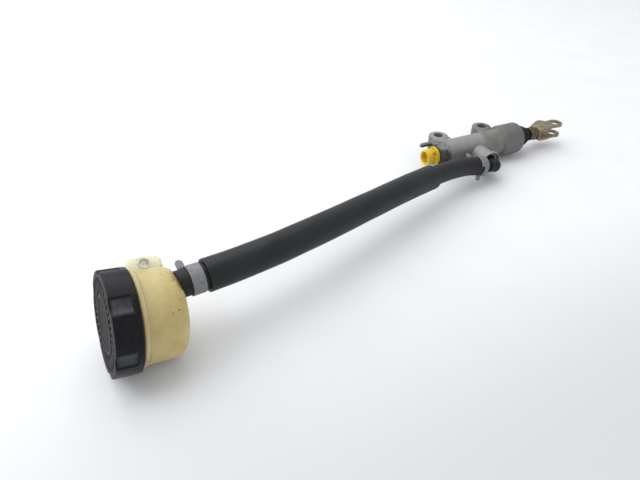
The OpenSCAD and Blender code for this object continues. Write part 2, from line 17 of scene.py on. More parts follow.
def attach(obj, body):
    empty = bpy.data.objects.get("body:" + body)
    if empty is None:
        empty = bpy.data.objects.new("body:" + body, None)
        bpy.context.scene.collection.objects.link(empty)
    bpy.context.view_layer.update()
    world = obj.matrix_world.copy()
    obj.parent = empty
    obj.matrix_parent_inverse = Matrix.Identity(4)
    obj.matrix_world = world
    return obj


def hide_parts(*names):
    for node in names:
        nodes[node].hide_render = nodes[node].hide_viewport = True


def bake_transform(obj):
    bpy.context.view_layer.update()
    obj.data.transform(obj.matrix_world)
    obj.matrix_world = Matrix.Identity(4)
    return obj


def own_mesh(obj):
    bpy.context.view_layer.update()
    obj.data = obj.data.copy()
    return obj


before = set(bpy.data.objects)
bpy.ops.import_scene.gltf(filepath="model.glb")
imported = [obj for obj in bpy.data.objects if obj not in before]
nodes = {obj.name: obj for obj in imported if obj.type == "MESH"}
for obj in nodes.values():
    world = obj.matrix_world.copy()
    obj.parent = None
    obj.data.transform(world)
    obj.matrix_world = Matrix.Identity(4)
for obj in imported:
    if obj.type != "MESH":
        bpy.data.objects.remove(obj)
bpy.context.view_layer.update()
scene = bpy.context.scene

# ---------------------------------------------------------------- driving sizes (mm, degrees)
MM = 0.001
BORE_Y, BORE_Z = -21.5, 6.0
BOSS_X, BOSS_Z = -2.5, 3.5
FLOOR_Z = -9.9

RESERVOIR = np.array([-330.7, -132.8, 22.7])  # centre of the cap's face
RESERVOIR_TURN, RESERVOIR_DIP = 6.4, 13
CAP_R, CAP_H = 28.8, 14.2
POT_R, POT_END, POT_ROUND = 25.8, 40.0, 8  # radius, far end, radius of its rounded edge
THREAD_PITCH, THREAD_DEPTH = 4.0, 0.55

NIPPLE = np.array([-287.52, -129.01, 32.56])  # root of the pot's nipple
NIPPLE_TURN, NIPPLE_TILT = 10.4, -4.13
ELBOW = np.array([BOSS_X, -54.0, BOSS_Z])
ELBOW_TURN, ELBOW_TILT = 180, 10.89

HOSE_R, HOSE_BORE_R = 7.9, 5.0
SLEEVE_R, SLEEVE_BORE_R = 9.9, 8.02


# ---------------------------------------------------------------- frames and directions
def move(x, y, z):
    return Matrix.Translation((x, y, z))


def turn(axis, degrees):
    return Matrix.Rotation(math.radians(degrees), 4, axis)


def spigot(root, heading, tilt, distance=0.0):
    """A frame whose +Z leaves root at a heading about Z and a tilt above level."""
    aim = turn("Z", heading) @ turn("Y", -tilt) @ turn("Y", 90)
    return move(*root) @ aim @ move(0, 0, distance)


def direction(heading, tilt):
    a, b = math.radians(heading), math.radians(tilt)
    return np.array([math.cos(b) * math.cos(a), math.cos(b) * math.sin(a), math.sin(b)])


IDENTITY = Matrix.Identity(4)
BORE = move(0, BORE_Y, BORE_Z)
BORE_AXIS = BORE @ turn("Y", 90)  # local +Z along the bore, towards +X
POT = move(*RESERVOIR) @ turn("Z", RESERVOIR_TURN) @ turn("Y", RESERVOIR_DIP)
POT_AXIS = POT @ turn("Y", 90)  # local +Z along the reservoir, away from the cap's face
POT_X, POT_Y, POT_UP = (np.array(column) for column in POT.to_3x3().col)
NIPPLE_DIR = direction(NIPPLE_TURN, NIPPLE_TILT)
ELBOW_DIR = direction(ELBOW_TURN, ELBOW_TILT)


# ---------------------------------------------------------------- profiles
def unit(v):
    return v / np.linalg.norm(v)


def fillet(points, radius, steps=3):
    """Rounds the corners of a closed profile of (radius, height) points."""
    out = []
    for i, point in enumerate(points):
        p = np.array(point, float)
        if p[0] < 1e-6:
            out.append(tuple(p))
            continue
        before = np.array(points[i - 1], float) - p
        after = np.array(points[(i + 1) % len(points)], float) - p
        reach_before, reach_after = np.linalg.norm(before), np.linalg.norm(after)
        before, after = before / reach_before, after / reach_after
        corner = math.acos(np.clip(before @ after, -1, 1))
        if corner > math.radians(160):
            out.append(tuple(p))
            continue
        cut = min(radius / math.tan(corner / 2), 0.45 * reach_before, 0.45 * reach_after)
        r = cut * math.tan(corner / 2)
        centre = p + unit(before + after) * (r / math.sin(corner / 2))
        start, end = p + before * cut - centre, p + after * cut - centre
        angle = math.atan2(start[1], start[0])
        sweep_angle = math.atan2(end[1], end[0]) - angle
        sweep_angle = (sweep_angle + math.pi) % (2 * math.pi) - math.pi
        for k in range(steps + 1):
            t = angle + sweep_angle * k / steps
            out.append((centre[0] + r * math.cos(t), centre[1] + r * math.sin(t)))
    return out


def dense(points, step):
    """Adds points to a closed profile so that no span off the axis is longer than step."""
    out = []
    for i, point in enumerate(points):
        a, b = np.array(point, float), np.array(points[(i + 1) % len(points)], float)
        out.append(tuple(a))
        if a[0] < 1e-6 and b[0] < 1e-6:
            continue
        extra = int(np.linalg.norm(b - a) / step)
        out += [tuple(a + (b - a) * j / (extra + 1)) for j in range(1, extra + 1)]
    return out


def smoothstep(a, b, x):
    t = np.clip((x - a) / (b - a), 0, 1)
    return t * t * (3 - 2 * t)


def thread_ridge(along, angle, fade_in, fade_out):
    """Height, 0 to 1, of the reservoir's thread; it fades in and out over two stretches."""
    phase = (along / THREAD_PITCH - angle / (2 * np.pi)) % 1.0
    ridge = smoothstep(0.16, 0.32, phase) * smoothstep(0.84, 0.68, phase)
    return ridge * smoothstep(*fade_in, along) * smoothstep(*fade_out, along)


def fractal_noise(co, scale, octaves, seed):
    """Fractal noise, about -1 to 1, at points in mm."""
    offset = Vector((seed * 13.1, seed * 7.7, seed * 3.3))
    return np.array([noise.fractal(Vector(c) * scale + offset, 1.0, 2.0, octaves) for c in co])


# ---------------------------------------------------------------- meshes
def smooth_shade(mesh):
    mesh.polygons.foreach_set("use_smooth", [True] * len(mesh.polygons))


def tidy(mesh, merge_distance):
    bm = bmesh.new()
    bm.from_mesh(mesh)
    bmesh.ops.remove_doubles(bm, verts=bm.verts, dist=merge_distance)
    bmesh.ops.recalc_face_normals(bm, faces=bm.faces)
    bm.to_mesh(mesh)
    bm.free()


def link_object(name, mesh):
    o = bpy.data.objects.new(name, mesh)
    scene.collection.objects.link(o)
    return o


def transform(co, matrix):
    a = np.array(matrix)
    return co @ a[:3, :3].T + a[:3, 3]


def make(name, verts, faces, local=IDENTITY):
    mesh = bpy.data.meshes.new(name)
    mesh.from_pydata((transform(verts, local) * MM).tolist(), [], faces)
    tidy(mesh, 2e-7)
    mesh.validate()
    smooth_shade(mesh)
    return link_object(name, mesh)


def ring_faces(rings, seg, skip=()):
    """Quads between each ring and the next, the last joining the first, but for skip."""
    faces = []
    for i in range(rings):
        if i in skip:
            continue
        j = (i + 1) % rings
        for k in range(seg):
            k2 = (k + 1) % seg
            faces.append((i * seg + k, i * seg + k2, j * seg + k2, j * seg + k))
    return faces


def lathe(name, profile, local, seg, shape=None):
    """Turns a closed (radius, height) profile; shape(angle, r, z) may change r and z."""
    points = np.array(profile, float)
    count = len(points)
    angles = np.ones((count, 1)) * np.linspace(0, 2 * math.pi, seg, endpoint=False)
    r, z = points[:, :1] * np.ones(seg), points[:, 1:] * np.ones(seg)
    if shape is not None:
        r, z = shape(angles, r, z)
    verts = np.stack([r * np.cos(angles), r * np.sin(angles), z], -1).reshape(-1, 3)
    on_axis = points[:, 0] < 1e-6
    skip = [i for i in range(count) if on_axis[i] and on_axis[(i + 1) % count]]
    return make(name, verts, ring_faces(count, seg, skip), local)


def read_vectors(items, attribute):
    flat = np.zeros(len(items) * 3)
    items.foreach_get(attribute, flat)
    return flat.reshape(-1, 3)


def write_co(mesh, co):
    mesh.vertices.foreach_set("co", np.asarray(co, np.float32).ravel())
    mesh.update()


def soften(node, name, voxel, rounds, local):
    """A CAD node's solid in local millimetres, remeshed and eased so its edges get radii."""
    source = nodes[node].data
    co = transform(read_vectors(source.vertices, "co") * 1000, local.inverted())
    mesh = bpy.data.meshes.new(name + "_src")
    mesh.from_pydata(co.tolist(), [], [tuple(p.vertices) for p in source.polygons])
    tidy(mesh, 1e-4)
    solid = link_object(name + "_src", mesh)
    remesh = solid.modifiers.new("r", "REMESH")
    remesh.mode = "VOXEL"
    remesh.voxel_size = voxel
    ease = solid.modifiers.new("s", "SMOOTH")
    ease.factor = 0.5
    ease.iterations = rounds
    depsgraph = bpy.context.evaluated_depsgraph_get()
    depsgraph.update()
    result = bpy.data.meshes.new_from_object(solid.evaluated_get(depsgraph))
    bpy.data.objects.remove(solid)
    result.name = name
    smooth_shade(result)
    return link_object(name, result)


# ---------------------------------------------------------------- shader building
MATERIALS = {}


def scaled(colour, factor):
    return tuple(x * factor for x in colour)


class Shader:
    """Builds a node material that works in millimetres of the product's frame."""

    def __init__(self, name):
        material = bpy.data.materials.new(name)
        MATERIALS[name] = material
        material.use_nodes = True
        self.tree = material.node_tree
        self.tree.nodes.clear()
        output = self.node("OutputMaterial")
        self.principled = self.node("BsdfPrincipled")
        self.link(self.principled.outputs[0], output.inputs["Surface"])
        coords = self.node("TexCoord")
        self.position = self.mapping(coords.outputs["Object"], (1000.0,) * 3)

    def node(self, kind):
        return self.tree.nodes.new("ShaderNode" + kind)

    def link(self, a, b):
        self.tree.links.new(a, b)

    def put(self, socket, value):
        """Links a socket, or sets a number or colour; a colour may leave out its alpha."""
        if isinstance(value, bpy.types.NodeSocket):
            self.link(value, socket)
        elif isinstance(value, tuple) and len(value) == 3 and len(socket.default_value) == 4:
            socket.default_value = (*value, 1)
        else:
            socket.default_value = value

    def surface(self, **inputs):
        """Sets Principled inputs; an underscore stands for a space."""
        for key, value in inputs.items():
            self.put(self.principled.inputs[key.replace("_", " ")], value)

    def mapping(self, vector, scale):
        node = self.node("Mapping")
        node.inputs["Scale"].default_value = scale
        self.link(vector, node.inputs["Vector"])
        return node.outputs[0]

    def noise(self, scale, detail=4, rough=0.55, vector=None, distortion=0.0):
        node = self.node("TexNoise")
        node.inputs["Scale"].default_value = scale
        node.inputs["Detail"].default_value = detail
        node.inputs["Roughness"].default_value = rough
        node.inputs["Distortion"].default_value = distortion
        self.link(vector or self.position, node.inputs["Vector"])
        return node.outputs["Fac"]

    def voronoi(self, scale, output="Distance"):
        node = self.node("TexVoronoi")
        node.inputs["Scale"].default_value = scale
        self.link(self.position, node.inputs["Vector"])
        return node.outputs[output]

    def ramp(self, value, span, to=(0, 1)):
        """Smoothly maps value from span to another range."""
        node = self.node("MapRange")
        node.interpolation_type = "SMOOTHSTEP"
        node.inputs["From Min"].default_value, node.inputs["From Max"].default_value = span
        node.inputs["To Min"].default_value, node.inputs["To Max"].default_value = to
        self.put(node.inputs["Value"], value)
        return node.outputs["Result"]

    def tint(self, base, colour, by, span=None, to=(0, 1)):
        """Mixes colour over base by a mask, or by a ramp of it when a span is given."""
        if span:
            by = self.ramp(by, span, to)
        node = self.node("Mix")
        node.data_type = "RGBA"
        self.put(node.inputs["Factor"], by)
        sockets = [s for s in node.inputs if s.type == "RGBA"]
        self.put(sockets[0], base)
        self.put(sockets[1], colour)
        return [s for s in node.outputs if s.type == "RGBA"][0]

    def math(self, operation, a, b=0.0, clamp=False):
        node = self.node("Math")
        node.operation = operation
        node.use_clamp = clamp
        self.put(node.inputs[0], a)
        self.put(node.inputs[1], b)
        return node.outputs[0]

    def times(self, first, *others):
        for other in others:
            first = self.math("MULTIPLY", first, other)
        return first

    def hypot(self, a, b):
        return self.math("SQRT", self.math("ADD", self.times(a, a), self.times(b, b)))

    def dot(self, vector, along):
        node = self.node("VectorMath")
        node.operation = "DOT_PRODUCT"
        self.link(vector, node.inputs[0])
        node.inputs[1].default_value = tuple(along)
        return node.outputs["Value"]

    def distance(self, along, origin=(0, 0, 0)):
        """Distance in mm from origin along a direction of the frame."""
        node = self.node("VectorMath")
        node.operation = "SUBTRACT"
        self.link(self.position, node.inputs[0])
        node.inputs[1].default_value = tuple(origin)
        return self.dot(node.outputs[0], along)

    def geometry(self, output):
        return self.node("NewGeometry").outputs[output]

    def pointiness(self):
        return self.geometry("Pointiness")

    def normal_z(self):
        node = self.node("SeparateXYZ")
        self.link(self.geometry("Normal"), node.inputs[0])
        return node.outputs[2]

    def bump(self, height, strength, depth):
        node = self.node("Bump")
        node.inputs["Strength"].default_value = strength
        node.inputs["Distance"].default_value = depth
        self.put(node.inputs["Height"], height)
        self.link(node.outputs[0], self.principled.inputs["Normal"])


# ---------------------------------------------------------------- metals
def cast_alloy():
    s = Shader("cast_alloy")
    broad = s.noise(scale=0.09, detail=3)
    mid = s.noise(scale=0.7, detail=5, rough=0.65)
    fine = s.noise(scale=3.2, detail=4, rough=0.7)
    c = s.tint((0.181, 0.179, 0.164), (0.248, 0.244, 0.226), by=broad, span=(0.35, 0.65))
    c = s.tint(c, (0.152, 0.149, 0.138), by=mid, span=(0.3, 0.72), to=(0, 0.65))
    c = s.tint(c, (0.318, 0.315, 0.296), by=fine, span=(0.5, 0.72), to=(0, 0.4))
    # worn edges
    c = s.tint(c, (0.340, 0.337, 0.318), by=s.pointiness(), span=(0.515, 0.58), to=(0, 0.45))
    # painted shade: the +X end is painted darker
    x = s.distance((1, 0, 0))
    end = s.times(s.ramp(x, span=(24.0, 30.0)), s.ramp(mid, span=(0.3, 0.7), to=(0.35, 0.6)))
    c = s.tint(c, (0.096, 0.095, 0.087), by=end)
    # painted highlight: upward faces along the middle are painted paler
    top = s.times(s.ramp(x, span=(8.0, 2.0)), s.ramp(x, span=(-34.5, -32.0)),
                  s.ramp(s.normal_z(), span=(0.30, 0.85)))
    c = s.tint(c, (0.40, 0.395, 0.37), by=s.times(top, 0.42))
    # painted shade round the -X end of the bore, on all but its upward faces
    from_bore = s.hypot(s.distance((0, 1, 0), (0, BORE_Y, 0)),
                        s.distance((0, 0, 1), (0, 0, BORE_Z)))
    painted_shade = s.times(s.ramp(x, span=(-33.2, -34.2)), s.ramp(from_bore, span=(12.3, 11.4)),
                    s.ramp(s.normal_z(), span=(0.60, 0.42)))
    painted_shade = s.times(painted_shade, s.ramp(mid, span=(0.3, 0.6), to=(0.75, 0.95)))
    c = s.tint(c, (0.030, 0.030, 0.022), by=painted_shade)
    # painted shade in the hollows
    c = s.tint(c, (0.074, 0.070, 0.061), by=s.pointiness(), span=(0.44, 0.485), to=(0.75, 0))
    s.surface(Base_Color=c, Metallic=0.3, Roughness=s.ramp(fine, span=(0.3, 0.7), to=(0.52, 0.7)))
    grain = s.math("ADD", s.times(mid, 0.5), s.times(fine, 0.5))
    s.bump(grain, strength=0.55, depth=0.00022)


def machined(name, colour):
    s = Shader(name)
    streaks = s.noise(scale=1.0, detail=3, rough=0.6,
                      vector=s.mapping(s.position, (6.0, 0.6, 6.0)))
    c = s.tint(scaled(colour, 0.75), colour, by=streaks, span=(0.35, 0.65))
    dark_patches = s.noise(scale=0.5, detail=3)
    c = s.tint(c, scaled(colour, 0.4), by=dark_patches, span=(0.55, 0.75), to=(0, 0.5))
    s.surface(Base_Color=c, Metallic=0.9,
              Roughness=s.ramp(streaks, span=(0.3, 0.7), to=(0.24, 0.42)))
    s.bump(streaks, strength=0.2, depth=0.00005)


def zinc(name, base, dark, rough, spangle=0.9, metallic=0.85):
    """Grey plating; spangle is the scale of its crystal cells."""
    s = Shader(name)
    cells = s.node("SeparateColor")
    s.link(s.voronoi(scale=spangle, output="Color"), cells.inputs[0])
    mid = s.noise(scale=0.8, detail=5, rough=0.65)
    c = s.tint(base, scaled(base, 0.72), by=cells.outputs[0], span=(0, 1), to=(0, 0.35))
    c = s.tint(c, dark, by=mid, span=(0.48, 0.72), to=(0, 0.8))
    c = s.tint(c, (0.74, 0.75, 0.76), by=s.pointiness(), span=(0.52, 0.6), to=(0, 0.6))
    s.surface(Base_Color=c, Metallic=metallic,
              Roughness=s.ramp(mid, span=(0.3, 0.7), to=(rough - 0.08, rough + 0.14)))
    s.bump(mid, strength=0.25, depth=0.00006)


def yellow_zinc():
    s = Shader("zinc_steel")
    broad = s.noise(scale=0.22, detail=4, rough=0.6, distortion=0.6)
    fine = s.noise(scale=1.5, detail=5, rough=0.7)
    c = s.tint((0.215, 0.17, 0.088), (0.29, 0.262, 0.20), by=broad, span=(0.36, 0.62))
    # brown blotches, dark specks, then bright edges
    blotches = s.noise(scale=0.35, detail=4, rough=0.65, distortion=1.0)
    c = s.tint(c, (0.235, 0.15, 0.065), by=blotches, span=(0.5, 0.66), to=(0, 0.85))
    c = s.tint(c, (0.10, 0.072, 0.04), by=fine, span=(0.54, 0.7), to=(0, 0.7))
    c = s.tint(c, (0.52, 0.48, 0.38), by=s.pointiness(), span=(0.53, 0.60), to=(0, 0.4))
    s.surface(Base_Color=c, Metallic=0.6, Roughness=s.ramp(fine, span=(0.3, 0.7), to=(0.40, 0.6)))
    s.bump(fine, strength=0.3, depth=0.00008)


def dark_steel(name, base, light):
    s = Shader(name)
    mid = s.noise(scale=0.6, detail=5, rough=0.65)
    fine = s.noise(scale=2.6, detail=4, rough=0.7)
    c = s.tint(base, light, by=mid, span=(0.4, 0.66))
    # rust specks, then bright edges
    c = s.tint(c, (0.15, 0.075, 0.03), by=fine, span=(0.52, 0.68), to=(0, 0.7))
    c = s.tint(c, (0.42, 0.37, 0.30), by=s.pointiness(), span=(0.52, 0.6), to=(0, 0.6))
    s.surface(Base_Color=c, Metallic=0.7,
              Roughness=s.ramp(fine, span=(0.3, 0.7), to=(0.36, 0.62)))
    s.bump(fine, strength=0.35, depth=0.00008)


# ---------------------------------------------------------------- rubber and plastics
def rubber(name, base, rough, dust=(0.10, 0.10, 0.095), dust_amount=0.25, grain=2.4):
    s = Shader(name)
    broad = s.noise(scale=0.05, detail=3)
    fine = s.noise(scale=grain, detail=4, rough=0.6)
    c = s.tint(base, scaled(base, 1.35), by=broad, span=(0.3, 0.7))
    # patchy dust on upward faces, which also dulls them
    patches = s.ramp(s.noise(scale=0.28, detail=6, rough=0.7), span=(0.52, 0.75))
    dusty = s.times(patches, s.ramp(s.normal_z(), span=(-0.2, 0.9)))
    c = s.tint(c, dust, by=s.times(dusty, dust_amount))
    gloss = s.ramp(fine, span=(0.3, 0.7), to=(rough - 0.06, rough + 0.08))
    gloss = s.math("ADD", gloss, s.times(dusty, 0.2), clamp=True)
    s.surface(Base_Color=c, Roughness=gloss, Specular_IOR_Level=0.30)
    s.bump(fine, strength=0.25, depth=0.00008)


def cap_plastic():
    s = Shader("cap_plastic")
    depth = s.distance(POT_X, RESERVOIR)
    fine = s.noise(scale=2.6, detail=5, rough=0.65)
    mid = s.noise(scale=0.35, detail=5, rough=0.6)
    facing = s.dot(s.geometry("Normal"), along=-POT_X)
    face = s.times(s.ramp(depth, span=(1.6, 0.9)), s.ramp(facing, span=(0.25, 0.75)))
    base = s.tint((0.0030, 0.0030, 0.0045), (0.0060, 0.0060, 0.0080), by=mid, span=(0.35, 0.65))
    # patchy dust on the cap's face
    dust = s.tint((0.018, 0.0178, 0.0175), (0.055, 0.054, 0.0525), by=fine, span=(0.35, 0.68))
    gaps = s.noise(scale=1.3, detail=4, rough=0.7)
    dust = s.tint(dust, (0.006, 0.006, 0.007), by=gaps, span=(0.46, 0.60), to=(0, 0.85))
    dust = s.tint(dust, (0.030, 0.029, 0.029), by=mid, span=(0.45, 0.7), to=(0, 0.5))
    # the raised bars carry the palest dust on top, the ground between them stays dark
    raised = s.times(s.ramp(depth, span=(0.62, 0.30)), s.ramp(depth, span=(-0.4, -0.2)))
    dust = s.tint(dust, (0.13, 0.128, 0.124), by=s.times(raised, 0.45))
    c = s.tint(base, dust, by=s.times(face, 0.86))
    # painted highlight: the floors of the hollows round the rim are painted paler
    radius = s.hypot(s.distance(POT_Y, RESERVOIR), s.distance(POT_UP, RESERVOIR))
    inside = s.ramp(radius, span=(28.35, 27.5))
    length = s.times(s.ramp(depth, span=(0.9, 2.2)), s.ramp(depth, span=(11.4, 10.6)))
    hollows = s.times(inside, length)
    hollows = s.times(hollows, s.ramp(mid, span=(0.3, 0.7), to=(0.55, 0.95)))
    c = s.tint(c, (0.060, 0.064, 0.075), by=hollows)
    # worn edges, then haze on upward faces
    c = s.tint(c, (0.07, 0.07, 0.075), by=s.pointiness(), span=(0.52, 0.6), to=(0, 0.45))
    haze = s.times(s.ramp(s.noise(scale=0.8, detail=5, rough=0.7), span=(0.5, 0.75)),
                   s.ramp(s.normal_z(), span=(0.0, 0.9)))
    c = s.tint(c, (0.06, 0.06, 0.064), by=s.times(haze, 0.22))
    gloss = s.ramp(fine, span=(0.3, 0.7), to=(0.27, 0.38))
    gloss = s.math("ADD", gloss, s.times(face, 0.42), clamp=True)
    s.surface(Base_Color=c, Roughness=gloss, Specular_IOR_Level=0.20)
    s.bump(fine, strength=0.25, depth=0.00008)


def aged_plastic():
    s = Shader("aged_plastic")
    depth = s.distance(POT_X, RESERVOIR)
    up = s.distance(POT_UP, RESERVOIR)
    broad = s.noise(scale=0.06, detail=4, rough=0.6)
    mid = s.noise(scale=0.35, detail=5, rough=0.6)
    c = s.tint((0.53, 0.41, 0.165), (0.62, 0.51, 0.245), by=broad, span=(0.35, 0.66))
    # greyer, then browner, towards the cap; painted shade: greyer and darker towards the
    # underside
    c = s.tint(c, (0.60, 0.56, 0.38), by=depth, span=(21.0, 14.5), to=(0, 0.28))
    c = s.tint(c, (0.36, 0.29, 0.13), by=depth, span=(27.0, 19.0), to=(0, 0.22))
    c = s.tint(c, (0.40, 0.36, 0.25), by=up, span=(-6.0, -24.0), to=(0, 0.45))
    # painted highlight: the lug and the top on the upper +Y side are painted pale
    lug = s.times(s.ramp(s.distance(POT_Y, RESERVOIR), span=(14.0, 24.0)),
                  s.ramp(up, span=(8.0, 15.0)))
    c = s.tint(c, (0.84, 0.83, 0.66), by=lug)
    c = s.tint(c, (0.44, 0.32, 0.12), by=mid, span=(0.5, 0.75), to=(0, 0.3))
    # old grease low down in the corner behind the flange
    corner = s.times(s.ramp(depth, span=(19.4, 17.4)), s.ramp(depth, span=(14.2, 16.6)),
                     s.ramp(up, span=(2.0, -10.0)))
    grease = s.times(corner, s.ramp(s.noise(scale=0.75, detail=4, rough=0.6), span=(0.46, 0.56)))
    c = s.tint(c, (0.10, 0.06, 0.025), by=s.times(grease, 0.9))
    # specks on top, either side of 33.5 mm from the cap's face
    off_middle = s.math("ABSOLUTE", s.math("SUBTRACT", depth, 33.5))
    patch = s.times(s.ramp(off_middle, span=(7.0, 3.0)), s.ramp(up, span=(9.0, 18.0)))
    specks = s.times(patch, s.ramp(s.noise(scale=0.62, detail=3, rough=0.7), span=(0.60, 0.66)))
    c = s.tint(c, (0.16, 0.115, 0.05), by=s.times(specks, 0.85))
    # scattered dots
    dots = s.ramp(s.voronoi(scale=0.42), span=(0.10, 0.05))
    clusters = s.ramp(s.noise(scale=0.11, detail=2), span=(0.52, 0.6), to=(0, 0.75))
    c = s.tint(c, (0.22, 0.16, 0.08), by=s.times(dots, clusters))
    s.surface(Base_Color=c, Roughness=s.ramp(mid, span=(0.3, 0.7), to=(0.34, 0.5)),
              Subsurface_Weight=0.85, Subsurface_Scale=0.006, Specular_IOR_Level=0.45,
              Subsurface_Radius=(1.0, 0.75, 0.32))
    s.bump(s.noise(scale=0.9, detail=4, rough=0.5), strength=0.2, depth=0.00012)


def plate_plastic():
    s = Shader("plate_plastic")
    mid = s.noise(scale=0.5, detail=4)
    c = s.tint((0.70, 0.67, 0.55), (0.78, 0.76, 0.66), by=mid, span=(0.35, 0.7))
    s.surface(Base_Color=c, Roughness=s.ramp(mid, span=(0.3, 0.7), to=(0.4, 0.55)),
              Subsurface_Weight=0.3, Subsurface_Scale=0.003)
    s.bump(s.noise(scale=2.0, detail=3), strength=0.2, depth=0.00006)


def yellow_plastic():
    s = Shader("yellow_plastic")
    mid = s.noise(scale=0.45, detail=5, rough=0.6)
    fine = s.noise(scale=2.2, detail=4, rough=0.65)
    x = s.distance((1, 0, 0))
    c = s.tint((0.66, 0.44, 0.010), (0.74, 0.52, 0.020), by=mid, span=(0.35, 0.7))
    c = s.tint(c, (0.55, 0.30, 0.01), by=fine, span=(0.55, 0.75), to=(0, 0.5))
    # painted shade: dark brown patches in the recess round the waist
    waist = s.times(s.ramp(x, span=(-49.0, -48.2)), s.ramp(x, span=(-45.4, -46.2)))
    dark_patches = s.ramp(s.noise(scale=0.3, detail=3), span=(0.45, 0.6), to=(0, 0.8))
    c = s.tint(c, (0.20, 0.075, 0.01), by=s.times(waist, dark_patches))
    s.surface(Base_Color=c, Roughness=s.ramp(fine, span=(0.3, 0.7), to=(0.32, 0.46)),
              Subsurface_Weight=0.25, Subsurface_Scale=0.002)
    s.bump(s.noise(scale=1.2, detail=3), strength=0.2, depth=0.00008)


def black_plastic():
    s = Shader("black_plastic")
    fine = s.noise(scale=2.2, detail=4, rough=0.6)
    mid = s.noise(scale=0.5, detail=4, rough=0.6)
    c = s.tint((0.008, 0.008, 0.009), (0.014, 0.014, 0.015), by=mid, span=(0.4, 0.7))
    c = s.tint(c, (0.04, 0.04, 0.04), by=s.pointiness(), span=(0.53, 0.6), to=(0, 0.25))
    s.surface(Base_Color=c, Roughness=s.ramp(fine, span=(0.3, 0.7), to=(0.32, 0.46)),
              Specular_IOR_Level=0.25)
    s.bump(fine, strength=0.25, depth=0.00006)


def build_materials():
    cast_alloy()
    machined("piston_alloy", colour=(0.62, 0.60, 0.50))
    machined("bush_alloy", colour=(0.82, 0.79, 0.66))
    # painted shade: a near-black material for the elbow's circlip, which sits in the shade of the
    # boss's mouth
    rubber("circlip_painted_shade", base=(0.012, 0.012, 0.012), rough=0.4,
           dust=(0.04, 0.04, 0.04), dust_amount=0.2)
    rubber("seal_rubber", base=(0.012, 0.012, 0.012), rough=0.42, dust_amount=0.1)
    rubber("boot_rubber", base=(0.005, 0.0049, 0.0045), rough=0.66,
           dust=(0.035, 0.033, 0.03), dust_amount=0.1)
    zinc("spring_steel", base=(0.46, 0.46, 0.47), dark=(0.2, 0.2, 0.2), rough=0.32)
    dark_steel("rod_steel", base=(0.085, 0.066, 0.046), light=(0.23, 0.19, 0.14))
    dark_steel("nut_steel", base=(0.07, 0.054, 0.035), light=(0.20, 0.165, 0.11))
    yellow_zinc()
    zinc("clamp_steel", base=(0.235, 0.24, 0.248), dark=(0.10, 0.105, 0.11), rough=0.56,
         spangle=0.7, metallic=0.35)
    black_plastic()
    rubber("hose_rubber", base=(0.008, 0.0082, 0.0085), rough=0.46,
           dust=(0.06, 0.057, 0.054), dust_amount=0.3)
    rubber("sleeve_rubber", base=(0.0105, 0.0120, 0.0125), rough=0.42,
           dust=(0.06, 0.064, 0.064), dust_amount=0.20, grain=1.6)
    aged_plastic()
    cap_plastic()
    plate_plastic()
    yellow_plastic()


# ---------------------------------------------------------------- placing pieces
def paint(o, material):
    mesh = o.data
    mesh.materials.clear()
    mesh.materials.append(MATERIALS[material])
    mesh.polygons.foreach_set("material_index", [0] * len(mesh.polygons))


def add(o, body, material, *replaced, slot=None):
    paint(o, material)
    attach(o, body)
    if replaced:
        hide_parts(*replaced)
    return o


def moulded(node, name, body, material, voxel, rounds, local=IDENTITY, slot=None, reshape=None):
    """Replaces a CAD node by its softened solid; reshape(co, normals) may move its points."""
    o = soften(node, name, voxel, rounds, local)
    mesh = o.data
    if reshape:
        write_co(mesh, reshape(read_vectors(mesh.vertices, "co"),
                               read_vectors(mesh.vertex_normals, "vector")))
    write_co(mesh, transform(read_vectors(mesh.vertices, "co"), local) * MM)
    add(o, body, material, node, slot=slot)


# ---------------------------------------------------------------- cylinder casting
HOLE_X = 25  # the two upright holes stand at y = 0, this far either side of x = 0
CYLINDER_BORE_R = 6.42


def cast_skin(co, normals):
    """Grain on the cast faces, little on the machined ones, and a true bore."""
    x, y, z = co.T
    from_bore = np.hypot(y - BORE_Y, z - BORE_Z)
    from_boss = np.hypot(x - BOSS_X, z - BOSS_Z)
    machined_face = np.zeros(len(co), bool)
    for hole in (-HOLE_X, HOLE_X):
        from_hole = np.hypot(x - hole, y)
        machined_face |= (from_hole < 7.4) & (z > 12.6)
        machined_face |= (from_hole < 4.6)
    in_bore = (x > -23) & (x < 30)
    machined_face |= (y < -48.6)  # end of the boss
    machined_face |= (x < -42.1) & (from_bore < 9.2)  # -X end face
    machined_face |= (from_bore < 6.6) & in_bore
    machined_face |= (from_bore < 12.0) & (x > 27)  # +X mouth
    machined_face |= (from_boss < 9.1) & (y < -34)
    machined_face |= (z < 0.25) & (y > -9.5)  # flat underside
    amount = np.where(machined_face, 0.12, 1.0)
    amount = np.where((from_bore < 6.7) & in_bore, 0.0, amount)
    grain = fractal_noise(co, scale=0.9, octaves=3, seed=1.0) * 0.055
    grain = grain + fractal_noise(co, scale=0.16, octaves=2, seed=2.0) * 0.10
    co = co + normals * (grain * amount)[:, None]
    # push the bore's wall out to its full radius, where it has shrunk
    wall = (from_bore > 4.6) & (from_bore < 6.7) & (x > -21.75) & (x < 27.2)
    growth = np.where(wall, CYLINDER_BORE_R / np.maximum(from_bore, 1e-6), 1.0)
    growth = np.maximum(growth, 1.0)
    co[:, 1] = np.where(wall, BORE_Y + (co[:, 1] - BORE_Y) * growth, co[:, 1])
    co[:, 2] = np.where(wall, BORE_Z + (co[:, 2] - BORE_Z) * growth, co[:, 2])
    return co


def casting():
    moulded("cylinder_body", "cylinder_casting", "cylinder", "cast_alloy",
            voxel=0.34, rounds=7, reshape=cast_skin)


# ---------------------------------------------------------------- reservoir cap
CAP_INNER_R = 26.1
RIM_R = 25.6  # the rim's hollows fade out at this radius
HOLLOWS, HOLLOW_START = 6, 212.5  # number, and angle of the first
HOLLOW_REACH, HOLLOW_R = 34.7, 8  # their centres from the axis, and their radius
HOLLOW_BLEND = 0.22  # softness of their edges
BAR_PITCH, BAR_RISE = 10, 0.78  # degrees between the face's raised bars, and their height

